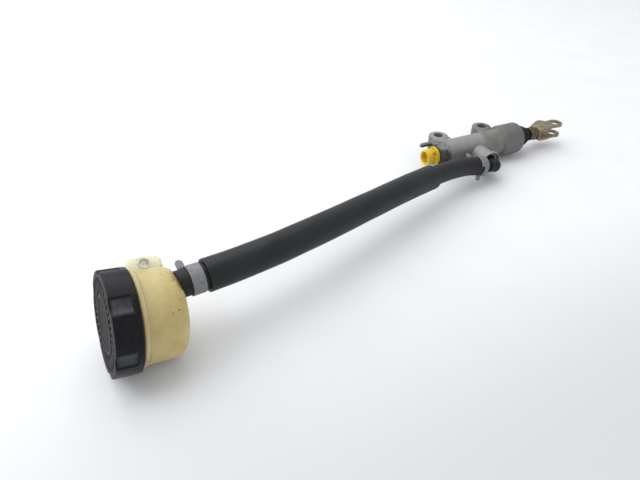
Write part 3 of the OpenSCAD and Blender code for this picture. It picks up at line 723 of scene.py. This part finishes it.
CAP_PROFILE = [  # radius, distance from the face
    # middle disc, step and the ring of bars
    (0, 0.6), (14.2, 0.6), (14.5, 0.45), (14.6, 0.15), (14.9, 0.1), (15.9, 0.1), (16.2, 0.2),
    (16.4, 0.8), (16.7, 0.9), (18.2, 0.9), (18.7, 0.9), (20.8, 0.9), (22.9, 0.9), (23.4, 0.9),
    (24.9, 0.9), (25.1, 0.85), (25.2, 0.3), (25.4, 0.05), (25.7, 0),
    # rounded rim and outer wall
    (27.4, 0.0), (28.0, 0.03), (28.4, 0.14), (28.66, 0.40), (28.78, 0.8), (CAP_R, 1.4),
    (CAP_R, 10.2), (CAP_R, 10.6), (CAP_R, 10.85), (CAP_R, 11.0), (CAP_R, 11.15), (CAP_R, 11.4),
    (CAP_R, 11.8), (CAP_R, CAP_H - 0.7), (28.72, CAP_H - 0.35), (28.5, CAP_H - 0.1),
    # open edge and inside
    (28.2, CAP_H), (26.6, CAP_H), (26.3, CAP_H - 0.15), (CAP_INNER_R, CAP_H - 0.5),
    (CAP_INNER_R, 3.2), (26.0, 2.75), (25.7, 2.6), (0, 2.6),
]


def cap_shape(angle, r, z):
    # hollows cut into the rim, blended into the outer wall
    centres = np.radians([(HOLLOW_START + 360 // HOLLOWS * k) % 360 for k in range(HOLLOWS)])
    off = np.min([np.abs((angle - c + np.pi) % (2 * np.pi) - np.pi) for c in centres], axis=0)
    aside = HOLLOW_REACH * np.sin(off)
    chord = np.sqrt(np.clip(HOLLOW_R ** 2 - aside ** 2, 0, None))
    outline = np.where(np.abs(aside) < HOLLOW_R, HOLLOW_REACH * np.cos(off) - chord, 40.0)
    h = np.clip(0.5 + 0.5 * (outline - CAP_R) / HOLLOW_BLEND, 0, 1)
    outline = outline * (1 - h) + CAP_R * h - HOLLOW_BLEND * h * (1 - h)
    band = smoothstep(10.75, 11.25, z)  # the full circle returns near the open edge
    outline = outline * (1 - band) + CAP_R * band
    outer = (r > RIM_R) & (z < CAP_H - 0.01) & ((z < 1.5) | (r > 27.5))
    new_r = np.where(outer, RIM_R + (r - RIM_R) * (outline - RIM_R) / (CAP_R - RIM_R), r)
    # raised bars on the face ring
    half = BAR_PITCH / 2
    off_bar = np.abs((np.degrees(angle) + half) % BAR_PITCH - half) * np.pi / 180 * r
    bars = smoothstep(0.95, 0.55, off_bar)
    bars = bars * smoothstep(18.2, 18.8, r) * smoothstep(23.4, 22.8, r) * (z < 1.2)
    # internal thread
    ridge = thread_ridge(z, angle, fade_in=(4.2, 5.6), fade_out=(13.2, 12.0))
    inner = (np.abs(r - CAP_INNER_R) < 0.02) & (z > 3.3) & (z < CAP_H - 0.3)
    new_r = np.where(inner, new_r - THREAD_DEPTH * ridge, new_r)
    return new_r, z - bars * BAR_RISE


def cap():
    o = lathe("cap_shell", dense(CAP_PROFILE, 0.42), POT_AXIS, seg=720, shape=cap_shape)
    add(o, "cap", "cap_plastic", "screw_cap")


# ---------------------------------------------------------------- reservoir pot
def pot_details(co, _normals):
    """Neck thread, slight unevenness and a raised mould line on each side of the wall."""
    x, y, z = co.T
    r = np.hypot(y, z)
    angle = np.arctan2(y, -z)
    ridge = thread_ridge(x, angle, fade_in=(6.4, 7.8), fade_out=(14.2, 13.0))
    neck = (r > 24.2) & (r < 24.9) & (x > 6.2) & (x < 14.4)
    wall = (r > 25.2) & (x > 18.2)
    rise = np.where(neck, THREAD_DEPTH * ridge, 0.0)
    unevenness = fractal_noise(co, scale=0.07, octaves=2, seed=4.0) * 0.10
    rise = rise + np.where(wall, unevenness, 0)
    off_line = np.abs(np.abs(angle) - np.radians(96))
    rise = rise + np.where(wall, 0.10 * np.exp(-(off_line * r / 0.35) ** 2), 0)
    safe_r = np.maximum(r, 1e-6)
    outward = np.stack([np.zeros_like(r), y / safe_r, z / safe_r], -1)
    return co + outward * rise[:, None]


def pot():
    moulded("reservoir_pot", "pot_shell", "reservoir", "aged_plastic",
            voxel=0.34, rounds=6, local=POT, reshape=pot_details)


DIAPHRAGM_PROFILE = [  # radius, distance from the cap's face
    (0, 10.6), (15.4, 10.6), (15.4, 6.6), (17.6, 6.6), (17.6, 12.4), (20.4, 12.4), (20.4, 5.8),
    (24.9, 5.8), (24.9, 4.4), (19.2, 4.4), (19.2, 11.2), (18.8, 11.2), (18.8, 5.4),
    (14.2, 5.4), (14.2, 9.4), (0, 9.4),
]
BUSH_PROFILE = [(2.65, 0), (3.22, 0), (3.22, 12.4), (2.65, 12.4)]  # radius, length
BUSH_FRAME = POT @ turn("X", -60) @ move(26, 6.2, 28.9) @ turn("X", 90)


def pot_inside():
    o = lathe("diaphragm_bellows", fillet(DIAPHRAGM_PROFILE, 0.5, steps=4), POT_AXIS, seg=144)
    add(o, "reservoir", "seal_rubber", "diaphragm")
    moulded("diaphragm_plate", "cover_plate", "plate", "plate_plastic",
            voxel=0.22, rounds=4, local=POT_AXIS)
    o = lathe("bracket_bush", fillet(BUSH_PROFILE, 0.18), BUSH_FRAME, seg=72)
    add(o, "reservoir", "bush_alloy", "lug_bush", slot="piston_alloy")


# ---------------------------------------------------------------- hose and sleeve
# The centre line runs straight off the nipple, along a Bezier curve, then straight to the elbow.
POT_RUN, ELBOW_RUN = 21.0, 27.0
CURVE_START = NIPPLE + POT_RUN * NIPPLE_DIR
CURVE_END = ELBOW + ELBOW_RUN * ELBOW_DIR
START_HANDLE = CURVE_START + 78.2 * NIPPLE_DIR
END_HANDLE = CURVE_END + 41.3 * ELBOW_DIR


def curve_point(t):
    return ((1 - t) ** 3 * CURVE_START + 3 * (1 - t) ** 2 * t * START_HANDLE
            + 3 * (1 - t) * t * t * END_HANDLE + t ** 3 * CURVE_END)


def curve_direction(t):
    return unit(3 * (1 - t) ** 2 * (START_HANDLE - CURVE_START)
                + 6 * (1 - t) * t * (END_HANDLE - START_HANDLE)
                + 3 * t * t * (CURVE_END - END_HANDLE))


CURVE_T = np.linspace(0, 1, 801)
CURVE_STEPS = np.diff(np.array([curve_point(t) for t in CURVE_T]), axis=0)
CURVE_S = np.concatenate([[0], np.cumsum(np.linalg.norm(CURVE_STEPS, axis=1))])
CURVE_LENGTH = float(CURVE_S[-1])
HOSE_LENGTH = POT_RUN + CURVE_LENGTH + ELBOW_RUN

HOSE_START = 2.0
HOSE_END = HOSE_LENGTH - 12.6
SLEEVE_START = 13.6
SLEEVE_END = POT_RUN + float(np.interp(0.725, CURVE_T, CURVE_S))
STATION_STEP = 1.6
CLAMP_SPANS = ((3.8, 11.6), (HOSE_LENGTH - 21.8, HOSE_LENGTH - 14.0))


def path(s):
    """Point and direction at s mm along the hose's centre line from the nipple's root."""
    if s <= POT_RUN:
        return NIPPLE + s * NIPPLE_DIR, NIPPLE_DIR
    if s >= POT_RUN + CURVE_LENGTH:
        return CURVE_END - (s - POT_RUN - CURVE_LENGTH) * ELBOW_DIR, -ELBOW_DIR
    t = float(np.interp(s - POT_RUN, CURVE_S, CURVE_T))
    return curve_point(t), curve_direction(t)


def seat_on_pot(p, s):
    """Slides a ring's points along the nipple until they lie on the pot's rounded end."""
    lift = (s - HOSE_START) * 0.9
    for _ in range(8):
        offset = p - RESERVOIR
        along = offset @ POT_X
        radius = np.linalg.norm(offset - along[:, None] * POT_X, axis=1)
        k = radius - (POT_R - POT_ROUND)
        drop = POT_ROUND - np.sqrt(np.clip(POT_ROUND ** 2 - k * k, 0, None))
        drop = np.where(k <= 0, 0, np.where(k >= 7.9, 7.0, drop))
        miss = (along - (POT_END + 0.25 + lift - drop)) / (NIPPLE_DIR @ POT_X)
        p = p - NIPPLE_DIR * miss[:, None]
    # no point falls further back than 2.2 mm behind the nipple's root
    return p + NIPPLE_DIR * np.maximum(0, -2.2 + lift - (p - NIPPLE) @ NIPPLE_DIR)[:, None]


def sweep(name, profile, seg, wobble, seated=False):
    """A lathe round the hose's centre line: profile is a closed loop of (station, radius)."""
    verts = np.zeros((len(profile), seg, 3))
    angle = np.linspace(0, 2 * math.pi, seg, endpoint=False)
    for i, (s, r) in enumerate(profile):
        centre, ahead = path(s)
        side = unit(np.cross([0, 0, 1.0], ahead))
        over = np.cross(ahead, side)
        radii = (r + wobble(s, angle, r))[:, None]
        p = centre + radii * (np.cos(angle)[:, None] * side + np.sin(angle)[:, None] * over)
        if seated and s < 2.8:
            p = seat_on_pot(p, s)
        verts[i] = p
    return make(name, verts.reshape(-1, 3), ring_faces(len(profile), seg))


def stations(start, length, count, radius):
    return [(start + length * i / count, radius) for i in range(count + 1)]


def clamp_bite(s, angle, r):
    """The hose's outside: pressed in slightly under the clamps, and a little out of round."""
    if r < 7:
        return np.zeros_like(angle)
    grip = 0.0
    for low, high in CLAMP_SPANS:
        grip += float(smoothstep(low - 1.2, low + 0.4, s) * smoothstep(high + 1.2, high - 0.4, s))
    return np.full_like(angle, -0.10 * grip) + 0.03 * np.sin(3 * angle + s * 0.05)


def sleeve_sag(s, angle, r):
    """Soft unevenness, weaker on the sleeve's inside."""
    wave = 0.10 * math.sin(s * 0.045 + 0.6) * np.cos(2 * angle + s * 0.011)
    wave = wave + 0.05 * math.sin(s * 0.13) * np.cos(angle * 3 + 1.0)
    wave = wave + 0.035 * np.sin(5 * angle + s * 0.21)
    return wave * (1.0 if r > 9 else 0.35)


def blend_tube(o, material, replaced):
    paint(o, material)
    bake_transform(o)
    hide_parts(replaced)


def hose():
    end, outer, inner = HOSE_END, HOSE_R, HOSE_BORE_R
    count = int((end - 6) / STATION_STEP)
    profile = [(HOSE_START, 7.7), (2.1, 7.86), (2.5, outer), (4.5, outer)]
    profile += stations(5, end - 6.2 - 5, count, outer)
    profile += [(end - 0.6, outer), (end - 0.25, 7.8), (end - 0.05, 7.55), (end, 7.2),
                (end, 5.5), (end - 0.1, 5.2), (end - 0.4, 5.02), (end - 1, inner)]
    profile += stations(end - 2, -(end - 8), count, inner)
    profile += [(2.6, inner), (2.2, 5.05), (HOSE_START, 5.2), (HOSE_START, 5.9),
                (HOSE_START, 6.6), (HOSE_START, 7.2)]
    o = sweep("supply_hose", profile, 112, clamp_bite, seated=True)
    blend_tube(o, "hose_rubber", "fluid_hose")


def sleeve():
    start, end, outer, inner = SLEEVE_START, SLEEVE_END, SLEEVE_R, SLEEVE_BORE_R
    length = end - start - 2
    count = int(length / STATION_STEP)
    profile = [(start, 9.3), (start + 0.05, 9.6), (start + 0.2, 9.8), (start + 0.5, outer)]
    profile += stations(start + 1, length, count, outer)
    profile += [(end - 0.5, outer), (end - 0.2, 9.8), (end - 0.05, 9.6), (end, 9.3),
                (end, 8.5), (end - 0.1, 8.2), (end - 0.4, 8.03)]
    profile += stations(end - 1, -length, count, inner)
    profile += [(start + 0.4, 8.03), (start + 0.1, 8.2), (start, 8.5)]
    o = sweep("sleeve_tube", profile, 128, sleeve_sag)
    blend_tube(o, "sleeve_rubber", "hose_sleeve")


# ---------------------------------------------------------------- clamps, elbow
def clamps_and_elbow():
    moulded("upper_clamp", "pot_clamp", "reservoir", "clamp_steel", voxel=0.13, rounds=4,
            local=spigot(NIPPLE, NIPPLE_TURN, NIPPLE_TILT, distance=3.9))
    moulded("lower_clamp", "elbow_clamp", "elbow", "clamp_steel", voxel=0.13, rounds=4,
            local=spigot(ELBOW, ELBOW_TURN, ELBOW_TILT, distance=21.6))
    moulded("inlet_elbow", "elbow_fitting", "elbow", "black_plastic", voxel=0.2, rounds=5,
            local=spigot(ELBOW, ELBOW_TURN, ELBOW_TILT))


# ---------------------------------------------------------------- plug
PLUG_PROFILE = [  # radius, x
    (0, -48.9), (4.6, -48.9), (5.0, -49.4), (5.0, -53.2), (5.3, -53.9), (6.6, -53.9),
    (7.0, -53.4), (7.2, -49.4), (6.8, -48.7), (6.2, -48.4), (6.2, -46.3), (6.6, -46.05),
    (8.2, -46), (8.4, -45.7), (8.4, -43.4), (8.1, -43.0), (4.44, -43.0), (4.44, -33.8),
    (3.9, -33.0), (0, -33.0),
]


def plug_shape(angle, r, z):
    # four shallow flats round the head, and a little unevenness
    head = (r > 4.9) & (z < -48.5)
    flats = 0.14 * np.maximum(0, np.cos(4 * angle)) ** 2
    return np.where(head, r - flats * (r - 4.9) / 2.3, r) + 0.02 * np.sin(7 * angle + z), z


def plug():
    profile = dense(fillet(PLUG_PROFILE, 0.3), 0.8)
    o = lathe("transit_plug", profile, BORE_AXIS, seg=96, shape=plug_shape)
    add(o, "plug", "yellow_plastic", "port_plug")


# ---------------------------------------------------------------- push rod end
BALL_R, BALL_X = 3.3, 24.4
ROD_THREAD_R, ROD_THREAD_PITCH = 3.9, 1.25


def rod_profile():
    """(radius, x): ball, neck, shank, threaded end."""
    angles = [math.radians(a) for a in range(0, 130, 8)]
    profile = [(BALL_R * math.sin(a), BALL_X - BALL_R * math.cos(a)) for a in angles]
    profile += [(2.4, 26.8), (2.4, 40.8), (2.5, 41.3), (3.1, 42.3), (3.2, 42.8), (3.2, 63.9),
                (3.35, 64.1)]
    profile += [(ROD_THREAD_R, x) for x in np.arange(64.3, 80.7, 0.12)]
    return profile + [(3.5, 81.0), (3.2, 81.3), (0, 81.3)]


def rod_thread(angle, r, z):
    phase = (z / ROD_THREAD_PITCH - angle / (2 * math.pi)) % 1.0
    groove = np.abs(phase - 0.5) * 2
    amount = smoothstep(64.2, 65.2, z) * smoothstep(81.0, 80.2, z) * (r > 3.45)
    return r - 0.55 * np.clip(groove, 0.06, 0.94) * amount + 0.02 * amount, z


def rod():
    o = lathe("push_rod", rod_profile(), BORE_AXIS, seg=72, shape=rod_thread)
    add(o, "pushrod", "rod_steel", "pushrod")
    moulded("locknut", "lock_nut", "locknut", "nut_steel", voxel=0.14, rounds=3, local=BORE_AXIS)
    moulded("weld_nut", "clevis_nut", "clevis", "nut_steel", voxel=0.14, rounds=3,
            local=BORE_AXIS, slot="zinc_steel")
    moulded("clevis", "fork_clevis", "clevis", "zinc_steel", voxel=0.2, rounds=4, local=BORE)


# ---------------------------------------------------------------- boot
BOOT_PROFILE = [  # radius, x
    # outside: collar, then bellows narrowing towards the rod
    (9.2, 43.7), (11.5, 43.7), (11.5, 46.9), (10.1, 46.9), (10.1, 47.9), (10.9, 47.9),
    (10.9, 50.2), (11.0, 50.9), (10.7, 51.6), (10.1, 52.2), (10.4, 53.0), (10.3, 53.8),
    (9.5, 54.5), (9.0, 55.1), (9.5, 55.9), (9.3, 56.8), (8.4, 57.4), (7.8, 57.9), (8.2, 58.7),
    (7.9, 59.5), (7.0, 60.0), (6.5, 60.5), (6.8, 61.1), (6.6, 61.7), (6.2, 62.0),
    # inside, back to the collar
    (5.65, 62.0), (5.6, 61.0), (5.7, 60.2), (6.0, 59.6), (6.6, 58.9), (6.6, 58.2), (7.2, 57.2),
    (8.0, 56.4), (8.0, 55.2), (8.6, 54.2), (9.1, 53.4), (9.0, 52.2), (9.5, 51.4), (9.7, 50.4),
    (9.7, 48.6), (9.2, 48.4),
]
LIP_PROFILE = [  # radius, x; the lip that grips the rod
    (3.25, 62.45), (6.5, 62.45), (6.7, 62.7), (6.4, 63.05), (5.5, 63.25), (5.3, 63.9),
    (4.9, 64.3), (3.25, 64.3),
]


def squash_along_bore(o):
    """Gives the piece its own copy of its mesh."""
    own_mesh(o)


def boot():
    o = lathe("boot_bellows", dense(fillet(BOOT_PROFILE, 0.35), 0.5), BORE_AXIS, seg=128)
    add(o, "cylinder", "boot_rubber", "dust_boot", slot="seal_rubber")
    squash_along_bore(o)
    o = lathe("boot_lip", fillet(LIP_PROFILE, 0.2), BORE_AXIS, seg=96)
    add(o, "pushrod", "boot_rubber", slot="seal_rubber")


# ---------------------------------------------------------------- parts in the bore
COIL_TURNS, COIL_R, WIRE_R = 6.5, 4.4, 0.45
COIL_START, COIL_END = -21.45, -8.15
COIL_FLAT = 0.8  # turns lying flat at each end
COIL_STEPS, WIRE_SEG = 420, 14

BORE_MATERIALS = {
    "piston": "piston_alloy", "primary_cup": "seal_rubber", "secondary_cup": "seal_rubber",
    "stop_washer": "spring_steel", "piston_circlip": "spring_steel",
    # painted shade: the elbow's circlip is painted near-black for the shade in the boss's mouth
    "elbow_circlip": "circlip_painted_shade", "elbow_o_ring": "seal_rubber",
}


def return_spring():
    turns = COIL_TURNS * np.linspace(0, 1, COIL_STEPS + 1)
    angle = (2 * math.pi * turns)[:, None]
    climb = np.clip((turns - COIL_FLAT) / (COIL_TURNS - 2 * COIL_FLAT), 0, 1)
    z = (COIL_START + (COIL_END - COIL_START) * climb)[:, None]
    wire = 2 * math.pi * np.arange(WIRE_SEG) / WIRE_SEG
    r = COIL_R + WIRE_R * np.cos(wire)[None, :]
    verts = np.stack([r * np.cos(angle), r * np.sin(angle), z + WIRE_R * np.sin(wire)], -1)
    faces = ring_faces(COIL_STEPS + 1, WIRE_SEG, skip=(COIL_STEPS,))
    faces.append(tuple(range(WIRE_SEG - 1, -1, -1)))
    faces.append(tuple(COIL_STEPS * WIRE_SEG + j for j in range(WIRE_SEG)))
    o = make("spring_coil", verts.reshape(-1, 3), faces, BORE_AXIS)
    add(o, "cylinder", "spring_steel", "return_spring")
    squash_along_bore(o)


def paint_bore_parts():
    for node, material in BORE_MATERIALS.items():
        paint(nodes[node], material)


# ---------------------------------------------------------------- floor, light, camera
def floor():
    bpy.ops.mesh.primitive_grid_add(x_subdivisions=8, y_subdivisions=8, size=6.0,
                                    location=(-0.1, -0.05, FLOOR_Z * MM))
    o = bpy.context.object
    o.name = "floor"
    s = Shader("floor_paper")
    broad = s.noise(scale=0.02, detail=3)
    c = s.tint((0.81, 0.815, 0.82), (0.83, 0.835, 0.84), by=broad, span=(0.3, 0.7))
    # painted shade: the floor is painted greyer towards -Y
    c = s.tint(c, (0.62, 0.635, 0.63), by=s.distance((0, 1, 0)), span=(-60.0, -230.0))
    s.surface(Base_Color=c, Roughness=0.85, Specular_IOR_Level=0.25)
    paint(o, "floor_paper")


def disk_light(name, location, target, size, power, colour):
    light = bpy.data.lights.new(name, "AREA")
    light.shape = "DISK"
    light.size = size
    light.energy = power
    light.color = colour
    o = link_object(name, light)
    o.location = location
    o.rotation_mode = "QUATERNION"
    aim = Vector(target) - Vector(location)
    o.rotation_quaternion = aim.to_track_quat("-Z", "Y")


def lighting():
    disk_light("key", location=(-0.45, 0.75, 1.25), target=(-0.25, 0.25, 0), size=2.3,
               power=18.5, colour=(1.0, 0.998, 0.99))
    disk_light("fill", location=(-1.1, 0.1, 0.9), target=(-0.2, -0.1, 0), size=0.7,
               power=3.0, colour=(0.97, 0.985, 1.0))
    world = bpy.data.worlds.new("studio")
    world.use_nodes = True
    background = world.node_tree.nodes["Background"]
    background.inputs["Color"].default_value = (0.93, 0.95, 1.0, 1)
    background.inputs["Strength"].default_value = 0.76
    scene.world = world
    scene.view_settings.view_transform = "Standard"
    scene.view_settings.look = "None"


def camera():
    view = bpy.data.cameras.new("view")
    view.sensor_width = 36
    view.lens = 27.52
    view.clip_start, view.clip_end = 0.01, 20
    o = link_object("view", view)
    right = (0.911935, -0.410290, 0.006050, 0)
    up = (0.247471, 0.561686, 0.789473, 0)
    backward = (-0.327311, -0.718451, 0.613756, 0)
    position = (-0.30006, -0.338263, 0.215588, 1)
    o.matrix_world = Matrix((right, up, backward, position)).transposed()
    scene.camera = o


build_materials()
casting()
cap()
pot()
pot_inside()
hose()
sleeve()
clamps_and_elbow()
plug()
rod()
boot()
return_spring()
paint_bore_parts()
floor()
lighting()
camera()

bpy.context.view_layer.update()
